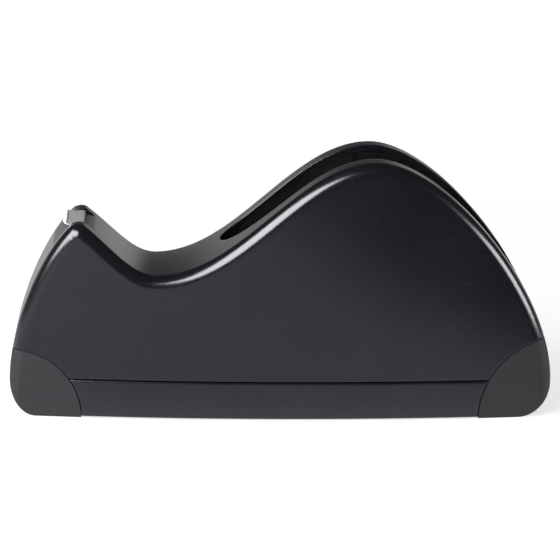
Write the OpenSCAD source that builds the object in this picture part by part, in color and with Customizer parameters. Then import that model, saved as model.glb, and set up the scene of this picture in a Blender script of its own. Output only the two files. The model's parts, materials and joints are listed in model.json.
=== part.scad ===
// Desk tape dispenser with a drawer: a wavy housing holds the roll on a drum,
// a toothed blade sits in the nose, and a shallow tray slides out of the base.
// Lengths in mm. The origin is on the table, under the middle of the body.
// Nose end is -X, near face is -Y, up is +Z.

/* [Housing] */
// full length, nose end to rear end
body_l = 250; // [240:1:270]
// greatest width, at the widest place
body_w = 59; // [57:0.5:67]
// how far each side draws in, half a body length from the widest place
side_bow = 7.5; // [5:0.1:9]
// height of the nose tip
nose_h = 90.2; // [87:0.2:95]
// height of the low place that fingers reach into
dip_h = 67; // [62:0.5:70]
// height of the hump above the roll
hump_h = 120; // [119.6:0.2:128]
// rounding along the long upper edges
edge_r = 5.4; // [3.5:0.1:6]
// thickness of the moulded walls
wall = 2.6; // [2.2:0.1:3]

/* [Roll well] */
// width of the slot for the roll
slot_w = 31; // [29.5:0.5:32]
// from the nose end to the front end of the slot
slot_start = 97.2; // [94:0.2:102]
// from the rear end of the slot to the rear end of the body
slot_rear_gap = 17; // [15:0.5:22]
// diameter of the space for the largest roll
roll_space_d = 97.6; // [96:0.2:99]
// outside diameter of the drum that carries the paper core
drum_d = 75.8; // [74:0.1:75.8]
// diameter of the axle
axle_d = 9; // [8:0.2:10]

/* [Blade] */
// length of the cutting edge
blade_w = 26; // [24:0.5:27]
// distance from tooth to tooth
tooth_pitch = 1.625; // [1.4:0.025:2]

/* [Base and drawer] */
// height of the parting line above the table
seam_h = 18.6; // [18:0.1:21]
// radius of the round joint around the front foot
front_foot_r = 31.5; // [30:0.1:33]
// radius of the round joint around the rear foot
rear_foot_r = 38.6; // [37:0.1:40]
// gap between each end of the tray and the nearer foot, at table height
tray_end_gap = 5.2; // [5:0.1:12]
// how far the drawer opens
drawer_travel = 30; // [24:1:31]
// how far the drawer is drawn in these solids, 0 is closed
drawer_out = 0; // [0:1:30]

/* [Hidden] */
front_x = -body_l / 2;
rear_x = body_l / 2;
nose_in = 32;
dip_in = 67.2;
hump_in = 83;
nose_x = front_x + nose_in;
dip_x = front_x + dip_in;
hump_x = rear_x - hump_in;
end_z = 16;
front_corner_run = 12;
rear_corner_run = 15.5;
wide_x = 12;
bow_r = body_l * body_l / (8 * side_bow);
thin_edge = 0.8;
skin = 3;
fit_gap = 0.3;
cut = 1;
far_off = 1.2 * body_l;

front_foot_in = 1.7;
rear_foot_out = 4.5;
front_foot_x = front_x + front_foot_in;
rear_foot_x = rear_x + rear_foot_out;
seam_gap = 0.7;
joint_gap = 0.5;
touch_gap = 0.05;
sink = 0.5;
deck_gap = 0.5;
deck_t = 3;
deck_low = seam_h + deck_gap;
deck_top = deck_low + deck_t;
skirt_t = 3.9;
skirt_low = 1;
tongue_t = 2.3;
tongue_out = wall + fit_gap;
tongue_in = tongue_out + tongue_t;
tongue_drop = 0.9;

// roll well, hub and axle
slot_x0 = front_x + slot_start;
slot_x1 = rear_x - slot_rear_gap;
well_wall = 1.8;
well_lift = 0.7;
axle_in = 7;
roll_space_r = roll_space_d / 2;
axle_x = hump_x + axle_in;
axle_z = deck_top + well_lift + well_wall + roll_space_r;
well_pad_in = 22;
well_pad_w = 4;
well_pad_h = 7;
rib_t = 1.2;
rib_out = 2.6;
rib_drop = 24;
rib_low = axle_z - rib_drop;
seat_side = 0.4;
channel_gap = 0.2;
channel_w = axle_d + 2 * channel_gap;
rib_pitch = channel_w + rib_t;
seat_gap = 0.08;
drum_side = 0.6;
drum_w = slot_w - 2 * (rib_out + drum_side);
axle_side = 0.4;
axle_len = slot_w - 2 * axle_side;
drum_wall = 2.3;
web_t = 2.4;
web_hole_r = 8.4;
boss_r = 8;

// outline of the slot
sweep_gap = 4.3;
sweep_l = axle_x - drum_d / 2 - sweep_gap - slot_x0;
sweep_in = 7.5;
sweep_tip = 3;
front_corner = 13.6;
front_corner_in = 7.5;
rear_corner = 8;
corner_pull = 2.5;

// blade and its seat
notch_side = 0.6;
notch_deep = 11;
notch_out = 14;
notch_back = 3.9;
ledge_deep = 3.1;
ledge_back = 9;
notch_w = blade_w + 2 * notch_side;
notch_low = nose_h - notch_deep;
notch_x1 = nose_x + notch_back;
plate_t = 0.6;
plate_deep = 1.2;
plate_l = 7.8;
plate_back = 2.8;
plate_top = nose_h - plate_deep;
plate_x1 = nose_x + plate_back;
plate_x0 = plate_x1 - plate_l;
plate_drop = 5;
lip_run = 2.2;
lip_rise = 1.4;
tooth_h = 1.3;
holder_side = 0.15;
holder_lift = 0.1;

// drawer
band_low = 0.7;
front_t = 3.2;
front_back_y = -8;
tray_low = 2;
tray_high = 16;
tray_mid = (tray_low + tray_high) / 2;
tray_t = 1.6;
tray_gap = 0.5;
lip_out = 2.4;
lip_front_y = -19;
tray_half = min(-front_foot_x - front_foot_r, rear_foot_x - rear_foot_r) - tray_end_gap;
tab_w = 24;
tab_h = 1.4;
stop_w = 28;
stop_t = 2;
stop_over = 0.9;
rail_t = 1.8;
rail_side = 0.6;
rail_low = 12;
rail_front_y = -17;
flange_t = 2;
flange_out = 2.6;
window_w = 60;
window_low = 4;
window_h = 11;

// screws; small ones hold the blade seat and the drawer front
screw_r = 1.5;
thread_r = 1.52;
clear_r = 1.75;
head_r = 2.8;
head_h = 1.7;
head_gap = 0.3;
head_sink = 1.8;
tip_gap = 0.7;
small_r = 1.1;
small_thread_r = 1.12;
small_clear_r = 1.3;
small_head_r = 2.2;
small_head_h = 1.4;
small_head_gap = 0.3;

case_screw_in = 3;
case_screw_mid = 35.2;
case_screw_x = [case_screw_in - tray_half, axle_x - case_screw_mid, tray_half - case_screw_in];
case_screw_len = 8.5;
case_boss_r = 3.4;
case_boss_h = 9.3;
web_w = 2.4;
front_screw_in = 13;
rear_screw_in = 17;
foot_screw_x = [front_x + front_screw_in, rear_x - rear_screw_in];
foot_screw_y = 8;
foot_head_z = 12;
foot_head_gap = 0.6;
foot_screw_len = 30;
foot_boss_z = 24;
foot_boss_h = 22;
ballast_in = 8;
ballast_x0 = ballast_in - tray_half;
ballast_l = 46;
ballast_top = 50;
ballast_y = 16;
ballast_screw_in = 11;
ballast_screw_x = [ballast_x0 + ballast_screw_in, ballast_x0 + ballast_l - ballast_screw_in];
ballast_screw_len = 12;
drawer_screw_in = 26;
drawer_screw_x = [drawer_screw_in - tray_half, 0, tray_half - drawer_screw_in];
drawer_screw_len = 3.5;
drawer_screw_gap = 0.2;
front_skin = 1;
holder_screw_in = 2.5;
holder_screw_x = nose_x - holder_screw_in;
holder_screw_y = 8;
holder_head_drop = 3.4;
holder_screw_len = 8.5;

// Curves of the side view ----------------------------------------------------

function bez(a, b, c, d, t) =
    pow(1 - t, 3) * a + 3 * pow(1 - t, 2) * t * b
    + 3 * (1 - t) * t * t * c + pow(t, 3) * d;

function run(a, b, c, d, count) = [for (i = [0 : count - 1]) bez(a, b, c, d, i / count)];

// unit directions of the front slope just under the tip, and of the slope behind it
up_slope = [0.714, 0.7];
down_slope = [0.779, -0.627];
// how far each curve keeps on in its first and last direction
front_pull = 22;
tip_pull = [1.9, 2.2];
ramp_pull = 16.3;
dip_pull = 11;
hump_pull = 31;
rear_pull = 42.5;
// from the tip to where its rounding begins and ends
tip_front = [3.6, 1.4];
tip_back = [3.1, 0.8];

front_end = [front_x, end_z];
tip_a = [nose_x - tip_front.x, nose_h - tip_front.y];
tip_b = [nose_x + tip_back.x, nose_h - tip_back.y];
dip_p = [dip_x, dip_h];
hump_p = [hump_x, hump_h];
rear_end = [rear_x, end_z];
rise_share = [0.38, 0.365];
rise_run = rise_share * (hump_x - dip_x);

// top outline from the nose end over the hump to the rear end
top_line = concat(
    run(front_end, front_end + [0, front_pull], tip_a - front_pull * up_slope, tip_a, 9),
    run(tip_a, tip_a + tip_pull[0] * up_slope, tip_b - tip_pull[1] * down_slope, tip_b, 4),
    run(tip_b, tip_b + ramp_pull * down_slope, dip_p - [dip_pull, 0], dip_p, 8),
    run(dip_p, dip_p + [rise_run[0], 0], hump_p - [rise_run[1], 0], hump_p, 14),
    run(hump_p, hump_p + [hump_pull, 0], rear_end + [0, rear_pull], rear_end, 14),
    [rear_end]
);
top_count = len(top_line);

// height of the underside, with the round lower corners of both ends
function low_z(x) =
    let (in = body_l / 2 - abs(x), corner_run = x < 0 ? front_corner_run : rear_corner_run)
    in >= corner_run ? 0
    : end_z * (1 - sqrt(max(0, 1 - pow(1 - in / corner_run, 2))));

low_line = [for (i = [top_count - 2 : -1 : 1]) [top_line[i].x, low_z(top_line[i].x)]];
loop = concat(top_line, low_line);
loop_count = len(loop);

function unit(v) = v / norm(v);
function inward(line, i) =
    let (n = len(line), t = unit(line[(i + 1) % n] - line[(i + n - 1) % n]))
    [t.y, -t.x];

function edge_at(z) = thin_edge + (edge_r - thin_edge) * min(1, z / end_z);

// where the two creases meet under the tip
tip_crease = [nose_x + 0.12, nose_h - edge_r];
function crease_of(p, q, is_top) =
    let (d = 0.15 + 0.25 * abs(p.x - nose_x))
    !is_top ? q
    : p.x < nose_x && q.x > tip_crease.x - d ? tip_crease - d * [1, 1.25]
    : p.x >= nose_x && p.x < dip_x && q.x < tip_crease.x + d ? tip_crease + d * [1, -0.9]
    : q;

crease = [for (i = [0 : loop_count - 1])
    crease_of(loop[i], loop[i] + edge_at(loop[i].y) * inward(loop, i), i < top_count)];

// half width of the body at x
function half_w(x) = body_w / 2 - bow_r + sqrt(bow_r * bow_r - pow(x - wide_x, 2));

edge_steps = 5;
ring_count = 2 * edge_steps + 2;
function ring_side(g) = g <= edge_steps ? -1 : 1;
function ring_angle(g) = 90 / edge_steps * (g <= edge_steps ? g : ring_count - 1 - g);

form_points = [for (g = [0 : ring_count - 1]) for (i = [0 : loop_count - 1])
    let (a = ring_angle(g), p = loop[i], q = crease[i], s = p + (q - p) * (1 - sin(a)),
        y = half_w(s.x) - edge_at(p.y) * (1 - cos(a)))
    [s.x, ring_side(g) * y, s.y]];

function at(g, i) = g * loop_count + (i + loop_count) % loop_count;
function low_i(k) = (loop_count - k) % loop_count;

form_faces = concat(
    [for (g = [0 : ring_count - 2]) for (i = [0 : loop_count - 1])
        if (g != edge_steps) [at(g, i), at(g + 1, i), at(g + 1, i + 1)]],
    [for (g = [0 : ring_count - 2]) for (i = [0 : loop_count - 1])
        if (g != edge_steps) [at(g, i), at(g + 1, i + 1), at(g, i + 1)]],
    [for (i = [0 : loop_count - 1])
        [at(edge_steps, i), at(edge_steps + 1, i), at(edge_steps + 1, i + 1), at(edge_steps, i + 1)]],
    [for (k = [0 : top_count - 3]) [at(0, k), at(0, k + 1), at(0, low_i(k + 1))]],
    [for (k = [1 : top_count - 2]) [at(0, k), at(0, low_i(k + 1)), at(0, low_i(k))]],
    [[at(0, top_count - 2), at(0, top_count - 1), at(0, low_i(top_count - 1))]],
    [for (k = [0 : top_count - 3])
        [at(ring_count - 1, k), at(ring_count - 1, low_i(k + 1)), at(ring_count - 1, k + 1)]],
    [for (k = [1 : top_count - 2])
        [at(ring_count - 1, k), at(ring_count - 1, low_i(k)), at(ring_count - 1, low_i(k + 1))]]
);

// Shared shapes --------------------------------------------------------------

module form() {
    polyhedron(points = form_points, faces = form_faces, convexity = 8);
}

// extrudes an outline of the side view across the body
module across(w) {
    rotate([90, 0, 0])
        translate([0, 0, -w / 2])
            linear_extrude(w) children();
}

// everything between the two bowed sides, moved in by d
module between_sides(d, z0, z1) {
    intersection() {
        translate([wide_x, bow_r - body_w / 2, z0])
            cylinder(r = bow_r - d, h = z1 - z0, $fn = 360);
        translate([wide_x, body_w / 2 - bow_r, z0])
            cylinder(r = bow_r - d, h = z1 - z0, $fn = 360);
        translate([front_x, -body_w, z0]) cube([body_l, 2 * body_w, z1 - z0]);
    }
}

// the same, bowed only on the near side
module near_of(d, x0, x1, y1, z0, z1) {
    intersection() {
        translate([wide_x, bow_r - body_w / 2, z0])
            cylinder(r = bow_r - d, h = z1 - z0, $fn = 360);
        translate([x0, -body_w, z0]) cube([x1 - x0, body_w + y1, z1 - z0]);
    }
}

module foot_round(x, r) {
    across(2 * body_w) translate([x, 0]) circle(r = r, $fn = 180);
}

module both_foot_rounds(more) {
    foot_round(front_foot_x, front_foot_r + more);
    foot_round(rear_foot_x, rear_foot_r + more);
}

// top outline moved in by s, without the tip, closed along the seam
function under_line(s) = [for (i = [1 : top_count - 2])
    let (p = top_line[i], n = inward(loop, i))
    if (p.y > seam_h + s && (p.x < nose_x - 12 || p.x > nose_x + 13)) p + s * n];

module under_skin(s, low) {
    points = under_line(s);
    last = points[len(points) - 1];
    polygon(concat(points, [[last.x + 1, low], [points[0].x - 0.5, low]]));
}

// outline of the slot from above; its near front corner sweeps across
function slot_outline(w) =
    let (h = slot_w / 2 + w, x0 = slot_x0 - w, x1 = slot_x1 + w, c = rear_corner, d = corner_pull)
    concat(
        run([x0 + w + sweep_l, -h], [x0 + 0.44 * sweep_l, -h],
            [x0 + 0.045 * sweep_l, sweep_in - h], [x0, sweep_tip - w], 10),
        [[x0, sweep_tip - w]],
        run([x0, h - front_corner_in - w], [x0, h - 3], [x0 + 5, h], [x0 + front_corner, h], 5),
        run([x1 - c, h], [x1 - d, h], [x1, h - d], [x1, h - c], 5),
        run([x1, c - h], [x1, d - h], [x1 - d, -h], [x1 - c, -h], 5),
        [[x1 - c, -h]]
    );

module slot_prism(w, z0, z1) {
    translate([0, 0, z0]) linear_extrude(z1 - z0) polygon(slot_outline(w));
}

// side view of the space for the roll, grown by w; the slot's ends lead down to it
lead_half = 38;
lead_low = axle_z - 32;
lead_front = dip_h - 8;
lead_rear = dip_h - 10;
module well_side(w) {
    translate([axle_x, axle_z]) circle(r = roll_space_r + w, $fn = 180);
    polygon([
        [slot_x0 - w, lead_front], [axle_x - lead_half, lead_low - w],
        [axle_x + lead_half, lead_low - w], [slot_x1 + w, lead_rear],
        [slot_x1 + w, 2 * hump_h], [slot_x0 - w, 2 * hump_h]
    ]);
}

module well_space(w) {
    intersection() {
        across(2 * body_w) well_side(w);
        slot_prism(w, 0, 2 * hump_h);
    }
}

module screw(head_z, length) {
    translate([0, 0, head_z - head_h]) cylinder(r = head_r, h = head_h, $fn = 36);
    translate([0, 0, head_z - 0.1]) cylinder(r = screw_r, h = length + 0.1, $fn = 36);
}

module small_screw(length) {
    translate([0, 0, -small_head_h]) cylinder(r = small_head_r, h = small_head_h, $fn = 36);
    translate([0, 0, -0.1]) cylinder(r = small_r, h = length + 0.1, $fn = 36);
}

function case_screw_y(x) = half_w(x) - tongue_in - head_r - deck_gap;

module at_case_screws() {
    for (x = case_screw_x, s = [-1, 1])
        translate([x, s * case_screw_y(x), 0]) children();
}

module at_foot_screws() {
    for (x = foot_screw_x, s = [-1, 1])
        translate([x, s * foot_screw_y, 0]) children();
}

module at_holder_screws() {
    for (s = [-1, 1])
        translate([holder_screw_x, s * holder_screw_y, notch_low]) children();
}

module at_drawer_screws() {
    for (x = drawer_screw_x)
        translate([x, 0, tray_mid]) rotate([90, 0, 0]) children();
}

// Housing --------------------------------------------------------------------

// plan of the hollow: straight runs between points on the bowed sides
hollow_cuts = 12;
function hollow_x(i) = front_x + body_l * i / hollow_cuts;
module offset_plan(d) {
    polygon(concat(
        [for (i = [0 : hollow_cuts]) [hollow_x(i), d - half_w(hollow_x(i))]],
        [for (i = [hollow_cuts : -1 : 0]) [hollow_x(i), half_w(hollow_x(i)) - d]]
    ));
}

module shell_hollow() {
    difference() {
        intersection() {
            across(2 * body_w) under_skin(skin, seam_h - cut);
            translate([0, 0, seam_h - cut]) linear_extrude(hump_h) offset_plan(wall);
        }
        both_foot_rounds(wall);
    }
}

// side view of what lies above the parting line and outside both feet
module housing_side() {
    difference() {
        translate([-far_off, seam_h]) square([2 * far_off, hump_h]);
        translate([front_foot_x, 0]) circle(r = front_foot_r, $fn = 180);
        translate([rear_foot_x, 0]) circle(r = rear_foot_r, $fn = 180);
    }
}

module nose_notch() {
    across(notch_w)
        polygon([
            [nose_x - notch_out, notch_low], [notch_x1, notch_low],
            [notch_x1, 2 * nose_h], [nose_x - notch_out, 2 * nose_h]
        ]);
    // flat ledge between the cheeks, behind the plate
    translate([nose_x, -notch_w / 2, nose_h - ledge_deep]) cube([ledge_back, notch_w, nose_h]);
}

module case_bosses() {
    intersection() {
        for (x = case_screw_x, s = [-1, 1])
            translate([x, s * case_screw_y(x), deck_top]) {
                cylinder(r = case_boss_r, h = case_boss_h, $fn = 36);
                // web that ties the boss to the side wall
                translate([-web_w / 2, s > 0 ? 0 : -body_w / 2, 0])
                    cube([web_w, body_w / 2, case_boss_h]);
            }
        translate([0, 0, seam_h]) linear_extrude(hump_h) offset_plan(wall / 2);
    }
    intersection() {
        at_foot_screws()
            translate([0, 0, foot_boss_z]) cylinder(r = case_boss_r, h = foot_boss_h, $fn = 36);
        difference() {
            translate([front_x, -body_w / 2, end_z]) cube([body_l, body_w, hump_h]);
            both_foot_rounds(wall / 2);
        }
    }
}

module shell() {
    color([0.16, 0.16, 0.18])
        difference() {
            union() {
                difference() {
                    intersection() {
                        form();
                        across(2 * body_w) housing_side();
                    }
                    shell_hollow();
                    slot_prism(0, seam_h, 2 * hump_h);
                    nose_notch();
                }
                case_bosses();
            }
            at_case_screws()
                translate([0, 0, deck_low])
                    cylinder(r = thread_r, h = head_sink + case_screw_len + tip_gap, $fn = 36);
            at_foot_screws()
                translate([0, 0, foot_head_z])
                    cylinder(r = thread_r, h = foot_screw_len + tip_gap, $fn = 36);
            at_holder_screws() {
                translate([0, 0, -nose_h / 4]) cylinder(r = small_clear_r, h = nose_h / 2, $fn = 36);
                translate([0, 0, -nose_h / 4])
                    cylinder(r = small_head_r + small_head_gap, h = nose_h / 4 - holder_head_drop,
                        $fn = 36);
            }
        }
}

module roll_well() {
    side_in = slot_w / 2 - rib_out;
    color([0.07, 0.07, 0.08])
        intersection() {
            difference() {
                union() {
                    difference() {
                        union() {
                            well_space(well_wall);
                            for (s = [-1, 1])
                                translate([axle_x + s * well_pad_in - well_pad_w / 2, -slot_w / 2, deck_top])
                                    cube([well_pad_w, slot_w, well_pad_h]);
                        }
                        well_space(0);
                    }
                    for (s = [-1, 1], k = [-1.5, -0.5, 0.5, 1.5])
                        translate([axle_x + k * rib_pitch - rib_t / 2,
                            s > 0 ? side_in : -slot_w / 2 - seat_side, rib_low])
                            cube([rib_t, rib_out + seat_side, hump_h]);
                    for (s = [-1, 1])
                        translate([axle_x - channel_w / 2 - seat_side,
                            s > 0 ? side_in : -slot_w / 2 - seat_side, rib_low])
                            cube([channel_w + 2 * seat_side, rib_out + seat_side, axle_z - rib_low]);
                }
                translate([axle_x, 0, axle_z])
                    rotate([90, 0, 0])
                        cylinder(r = axle_d / 2 + seat_gap, h = slot_w, center = true, $fn = 72);
                translate([axle_x - channel_w / 2, -slot_w / 2, axle_z])
                    cube([channel_w, slot_w, hump_h]);
            }
            across(2 * body_w) under_skin(skin + 0.1, deck_low);
        }
}

// Base -----------------------------------------------------------------------

module deck() {
    difference() {
        between_sides(tongue_out, deck_low, deck_top);
        both_foot_rounds(tongue_out);
    }
}

module far_skirt() {
    difference() {
        intersection() {
            between_sides(0, skirt_low, seam_h - 0.2);
            far_half();
        }
        between_sides(skirt_t, skirt_low - cut, seam_h);
        both_foot_rounds(joint_gap);
        translate([-window_w / 2, 0, window_low]) cube([window_w, body_w, window_h]);
    }
    // tongue inside the shell's far wall
    difference() {
        intersection() {
            between_sides(tongue_out, seam_h - tongue_drop, deck_top);
            far_half();
        }
        between_sides(tongue_in, seam_h - tongue_drop - cut, deck_top + cut);
        both_foot_rounds(tongue_out);
    }
}

module far_half() {
    translate([front_x, 0, 0]) cube([body_l, body_w, deck_top]);
}

// brackets under the deck that carry the lips of the tray, and end inside the skirt
module rails() {
    web_x = tray_half + lip_out + rail_side;
    end_x = web_x + rail_t;
    rail_l = min(half_w(-end_x), half_w(end_x)) - skirt_t - rail_front_y;
    for (s = [-1, 1]) {
        translate([s > 0 ? web_x : -end_x, rail_front_y, rail_low])
            cube([rail_t, rail_l + sink, deck_low + sink - rail_low]);
        translate([s > 0 ? web_x - flange_out : -web_x - sink, rail_front_y, rail_low])
            cube([flange_out + sink, rail_l + sink, flange_t]);
    }
}

function tray_back_y() =
    min(half_w(-tray_half - lip_out), half_w(tray_half + lip_out)) - skirt_t - tray_gap;

// bar under the deck that the tray's rear tab meets
module drawer_stop() {
    stop_y = tray_back_y() - tray_t - drawer_travel - tray_gap;
    translate([-stop_w / 2, stop_y - stop_t, tray_high + tab_h - stop_over])
        cube([stop_w, stop_t, deck_low + sink - tray_high - tab_h + stop_over]);
}

module deck_screw_hole() {
    cylinder(r = head_r + head_gap, h = deck_low + head_sink, $fn = 36);
    cylinder(r = clear_r, h = deck_top + cut, $fn = 36);
}

module base_frame() {
    color([0.12, 0.12, 0.13])
        difference() {
            union() {
                deck();
                far_skirt();
                rails();
                drawer_stop();
            }
            at_case_screws() deck_screw_hole();
            for (x = ballast_screw_x) translate([x, 0, 0]) deck_screw_hole();
        }
}

module foot_holes() {
    at_foot_screws() {
        translate([0, 0, -cut])
            cylinder(r = head_r + foot_head_gap, h = cut + foot_head_z, $fn = 36);
        translate([0, 0, -cut]) cylinder(r = clear_r, h = hump_h / 2, $fn = 36);
    }
}

module front_foot() {
    color([0.27, 0.27, 0.29])
        difference() {
            intersection() {
                form();
                foot_round(front_foot_x, front_foot_r - touch_gap);
            }
            foot_holes();
        }
}

module rear_foot() {
    color([0.27, 0.27, 0.29])
        difference() {
            intersection() {
                form();
                foot_round(rear_foot_x, rear_foot_r - touch_gap);
            }
            foot_holes();
        }
}

module ballast() {
    color([0.4, 0.4, 0.42])
        difference() {
            translate([ballast_x0, -ballast_y, deck_top])
                cube([ballast_l, 2 * ballast_y, ballast_top - deck_top]);
            for (x = ballast_screw_x)
                translate([x, 0, deck_low])
                    cylinder(r = thread_r, h = head_sink + ballast_screw_len + tip_gap, $fn = 36);
        }
}

// Drawer ---------------------------------------------------------------------

module drawer_front() {
    color([0.16, 0.16, 0.18])
        translate([0, -drawer_out, 0])
            difference() {
                near_of(0, front_x, rear_x, front_back_y, band_low, seam_h - seam_gap);
                near_of(front_t, front_x - cut, rear_x + cut, body_w, 0, seam_h);
                both_foot_rounds(joint_gap);
                for (x = drawer_screw_x)
                    translate([x, 0, tray_mid])
                        rotate([90, 0, 0])
                            cylinder(r = small_thread_r, h = half_w(x) - front_skin, $fn = 36);
            }
}

module drawer_tray() {
    front_in = front_t + touch_gap;
    color([0.12, 0.12, 0.13])
        translate([0, -drawer_out, 0])
            difference() {
                union() {
                    near_of(front_in, -tray_half, tray_half, tray_back_y(), tray_low, tray_high);
                    translate([-tray_half - lip_out, lip_front_y, tray_high - tray_t])
                        cube([2 * (tray_half + lip_out), tray_back_y() - lip_front_y, tray_t]);
                    translate([-tab_w / 2, tray_back_y() - tray_t, tray_high - cut])
                        cube([tab_w, tray_t, tab_h + cut]);
                }
                near_of(front_in + tray_t, tray_t - tray_half, tray_half - tray_t,
                    tray_back_y() - tray_t, tray_low + tray_t, seam_h + cut);
                at_drawer_screws() cylinder(r = small_clear_r, h = body_w, $fn = 36);
            }
}

module drawer_screws() {
    head_in = front_t + touch_gap + tray_t + drawer_screw_gap;
    color([0.7, 0.7, 0.72])
        translate([0, -drawer_out, 0])
            for (x = drawer_screw_x)
                translate([x, head_in - half_w(x), tray_mid])
                    rotate([90, 0, 0]) small_screw(drawer_screw_len);
}

// Roll carrier ---------------------------------------------------------------

module hub_wheel() {
    hole_at = (drum_d / 2 - drum_wall + boss_r) / 2;
    color([0.1, 0.1, 0.11])
        translate([axle_x, 0, axle_z])
            rotate([90, 0, 0])
                difference() {
                    union() {
                        difference() {
                            cylinder(d = drum_d, h = drum_w, center = true, $fn = 144);
                            cylinder(d = drum_d - 2 * drum_wall, h = drum_w + cut,
                                center = true, $fn = 144);
                        }
                        difference() {
                            cylinder(d = drum_d - drum_wall, h = web_t, center = true, $fn = 144);
                            for (a = [0 : 60 : 300])
                                rotate(a) translate([hole_at, 0, 0])
                                    cylinder(r = web_hole_r, h = 2 * web_t, center = true, $fn = 72);
                        }
                        cylinder(r = boss_r, h = drum_w, center = true, $fn = 72);
                    }
                    cylinder(d = axle_d + 0.1, h = drum_w + cut, center = true, $fn = 72);
                }
}

module hub_axle() {
    color([0.75, 0.75, 0.77])
        translate([axle_x, 0, axle_z])
            rotate([90, 0, 0])
                cylinder(d = axle_d, h = axle_len, center = true, $fn = 72);
}

// Blade ----------------------------------------------------------------------

module blade_holder() {
    low = notch_low + holder_lift;
    holder_w = notch_w - 2 * holder_side;
    color([0.1, 0.1, 0.11])
        difference() {
            // its front is flush with the nose
            intersection() {
                form();
                translate([nose_x - notch_out, -holder_w / 2, low])
                    cube([notch_out + plate_back, holder_w, plate_top - plate_t - low]);
            }
            at_holder_screws()
                translate([0, 0, -cut])
                    cylinder(r = small_thread_r, h = cut + holder_screw_len - holder_head_drop + tip_gap,
                        $fn = 36);
        }
}

module blade() {
    teeth = floor(blade_w / tooth_pitch);
    color([0.8, 0.8, 0.82]) {
        translate([plate_x0, -blade_w / 2, plate_top - plate_t])
            cube([plate_x1 - plate_x0, blade_w, plate_t]);
        // rear edge bent down behind the seat
        translate([plate_x1, -blade_w / 2, plate_top - plate_drop])
            cube([plate_t, blade_w, plate_drop]);
        // lip bent up, with the teeth along its edge
        translate([plate_x0, 0, plate_top - plate_t])
            rotate([0, atan(lip_rise / lip_run), 0])
                translate([0.1, 0, 0])
                    linear_extrude(plate_t)
                        polygon(concat(
                            [[0, -blade_w / 2], [0, blade_w / 2]],
                            [for (i = [teeth : -1 : 0], k = [0, 1]) if (i > 0 || k == 0)
                                k == 0
                                ? [tooth_h - lip_run, (i / teeth - 0.5) * blade_w]
                                : [-lip_run - 0.1, ((i - 0.5) / teeth - 0.5) * blade_w]]
                        ));
    }
}

// Fasteners ------------------------------------------------------------------

module case_screws() {
    color([0.7, 0.7, 0.72])
        at_case_screws() screw(deck_low + head_sink, case_screw_len);
}

module ballast_screws() {
    color([0.7, 0.7, 0.72])
        for (x = ballast_screw_x)
            translate([x, 0, 0]) screw(deck_low + head_sink, ballast_screw_len);
}

module foot_screws() {
    color([0.7, 0.7, 0.72])
        at_foot_screws() screw(foot_head_z, foot_screw_len);
}

module holder_screws() {
    color([0.7, 0.7, 0.72])
        at_holder_screws() translate([0, 0, -holder_head_drop]) small_screw(holder_screw_len);
}

shell();
roll_well();
base_frame();
front_foot();
rear_foot();
ballast();
drawer_front();
drawer_tray();
hub_wheel();
hub_axle();
blade_holder();
blade();
case_screws();
ballast_screws();
foot_screws();
holder_screws();
drawer_screws();
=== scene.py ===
import json
import math

import bmesh
import bpy
from mathutils import Matrix, Vector


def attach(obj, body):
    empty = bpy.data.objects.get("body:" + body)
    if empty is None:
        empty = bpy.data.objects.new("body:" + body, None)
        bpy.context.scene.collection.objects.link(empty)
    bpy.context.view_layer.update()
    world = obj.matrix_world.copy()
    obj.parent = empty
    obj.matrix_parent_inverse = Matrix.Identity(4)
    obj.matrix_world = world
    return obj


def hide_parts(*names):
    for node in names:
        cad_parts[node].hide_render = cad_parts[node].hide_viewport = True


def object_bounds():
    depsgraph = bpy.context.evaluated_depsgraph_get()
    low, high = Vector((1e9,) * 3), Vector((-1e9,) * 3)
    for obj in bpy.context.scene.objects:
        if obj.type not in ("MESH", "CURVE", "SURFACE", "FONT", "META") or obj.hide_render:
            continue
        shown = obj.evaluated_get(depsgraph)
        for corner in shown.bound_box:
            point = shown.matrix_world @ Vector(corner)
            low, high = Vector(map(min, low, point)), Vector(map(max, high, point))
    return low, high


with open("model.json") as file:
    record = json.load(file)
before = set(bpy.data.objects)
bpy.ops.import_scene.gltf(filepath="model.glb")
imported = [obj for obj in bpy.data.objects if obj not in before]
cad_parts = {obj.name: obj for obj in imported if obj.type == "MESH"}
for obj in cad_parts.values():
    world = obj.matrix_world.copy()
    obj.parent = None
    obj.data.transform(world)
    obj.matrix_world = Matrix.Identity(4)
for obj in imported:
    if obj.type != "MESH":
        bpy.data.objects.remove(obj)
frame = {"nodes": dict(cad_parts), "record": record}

# Desk tape dispenser with a drawer. Metres, nose towards -X, near face towards -Y, up is +Z.

mm = 0.001
cadLow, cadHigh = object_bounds()
print("frame loaded, box", [round(v, 4) for v in (*cadLow, *cadHigh)])


def linearColour(code):
    # sRGB hex to the linear colour that shaders use
    parts = [int(code[i:i + 2], 16) / 255 for i in (1, 3, 5)]
    return tuple(c / 12.92 if c <= 0.04045 else ((c + 0.055) / 1.055) ** 2.4 for c in parts) + (1,)


def setSockets(tree, node, values):
    # sockets of other nodes are linked, plain values are set on the node's own socket
    for name, value in values.items():
        if isinstance(value, bpy.types.NodeSocket):
            tree.links.new(value, node.inputs[name])
        else:
            node.inputs[name].default_value = value


def addNode(tree, kind, settings=None, values=None):
    # one node with its settings and what goes into its sockets
    node = tree.nodes.new(kind)
    for name, value in (settings or {}).items():
        setattr(node, name, value)
    setSockets(tree, node, values or {})
    return node


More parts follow.
